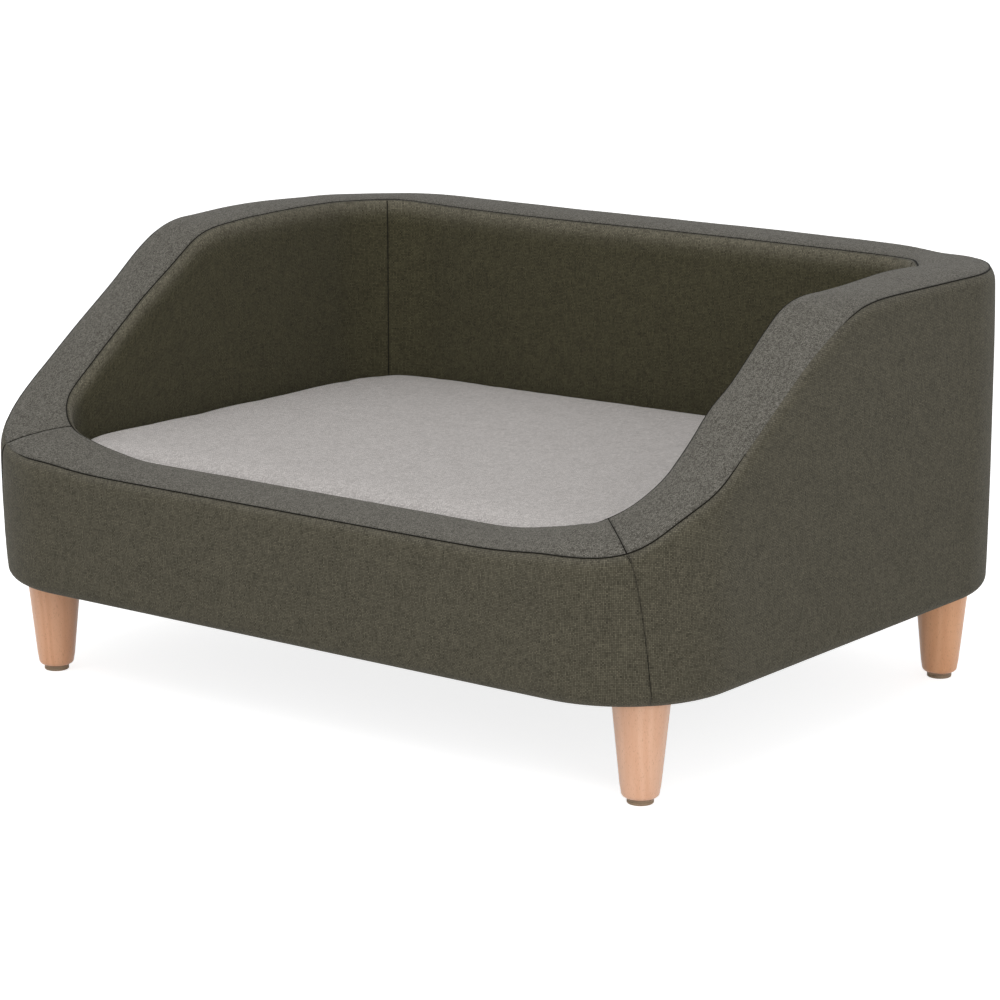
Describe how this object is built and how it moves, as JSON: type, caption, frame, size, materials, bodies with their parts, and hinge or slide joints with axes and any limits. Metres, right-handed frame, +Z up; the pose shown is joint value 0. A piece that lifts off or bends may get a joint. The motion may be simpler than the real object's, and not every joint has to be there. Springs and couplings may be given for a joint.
{
  "type": "dog sofa bed",
  "caption": "Low upholstered pet sofa with sloping arms, a low front rail, a flat loose mattress and tapered wooden legs.",
  "frame": {"origin": "on the floor, under the middle of the bounding box", "axes": "+X to the right as seen from the front, +Y from the open front to the back, +Z up"},
  "size_m": [0.72, 0.56, 0.3631],
  "materials": {
    "outer_cloth": "matte heather weave",
    "rim_cloth": "matte heather weave",
    "inner_cloth": "matte heather weave",
    "foam": "open-cell foam",
    "plywood": "raw sanded",
    "beech": "satin lacquer",
    "glide": "matte",
    "black_cloth": "non-woven",
    "mattress_cloth": "matte short-napped cloth",
    "zip_tape": "woven tape",
    "zip_coil": "satin",
    "zip_metal": "satin nickel",
    "zinc_steel": "zinc plated"
  },
  "bodies": {
    "sofa": {"base_board": "plywood", "front_rail_board": "plywood", "back_board": "plywood", "left_side_board": "plywood", "right_side_board": "plywood", "front_left_corner_former": "plywood", "front_right_corner_former": "plywood", "back_left_corner_former": "plywood", "back_right_corner_former": "plywood", "frame_dowels": "beech", "frame_screws": "zinc_steel", "front_outer_foam": "foam", "left_outer_foam": "foam", "right_outer_foam": "foam", "back_outer_foam": "foam", "front_inner_foam": "foam", "left_inner_foam": "foam", "right_inner_foam": "foam", "back_inner_foam": "foam", "front_rim_foam": "foam", "left_rim_foam": "foam", "right_rim_foam": "foam", "back_rim_foam": "foam", "front_outer_cover": "outer_cloth", "left_outer_cover": "outer_cloth", "right_outer_cover": "outer_cloth", "back_outer_cover": "outer_cloth", "front_inner_cover": "inner_cloth", "left_inner_cover": "inner_cloth", "right_inner_cover": "inner_cloth", "back_inner_cover": "inner_cloth", "front_rim_band": "rim_cloth", "arm_and_back_rim_band": "rim_cloth", "deck_cloth": "black_cloth", "dust_cover": "black_cloth", "hem_staples": "zinc_steel", "front_left_leg": "beech", "front_right_leg": "beech", "back_left_leg": "beech", "back_right_leg": "beech", "hanger_bolts": "zinc_steel", "tee_nuts": "zinc_steel", "front_left_glide": "glide", "front_right_glide": "glide", "back_left_glide": "glide", "back_right_glide": "glide", "glide_nails": "zinc_steel"},
    "mattress": {"mattress_foam": "foam", "mattress_top_panel": "mattress_cloth", "mattress_boxing": "mattress_cloth", "mattress_bottom_panel": "mattress_cloth", "zip_tapes": "zip_tape", "zip_coil": "zip_coil", "zip_stops": "zip_metal"},
    "zip_slider": {"zip_slider": "zip_metal"},
    "zip_pull": {"zip_pull": "zip_metal"}
  },
  "joints": [
    {"name": "mattress_lift", "type": "slide", "parent": "sofa", "child": "mattress", "axis": [0, 0, 1], "range_m": [0, 0.3]},
    {"name": "zip_slide", "type": "slide", "parent": "mattress", "child": "zip_slider", "axis": [-1, 0, 0], "range_m": [0, 0.4194]},
    {"name": "zip_pull_swing", "type": "hinge", "parent": "zip_slider", "child": "zip_pull", "pos_m": [0.2097, 0.22074, 0.14665], "axis": [0, 0, -1], "range_deg": [0, 7]}
  ]
}
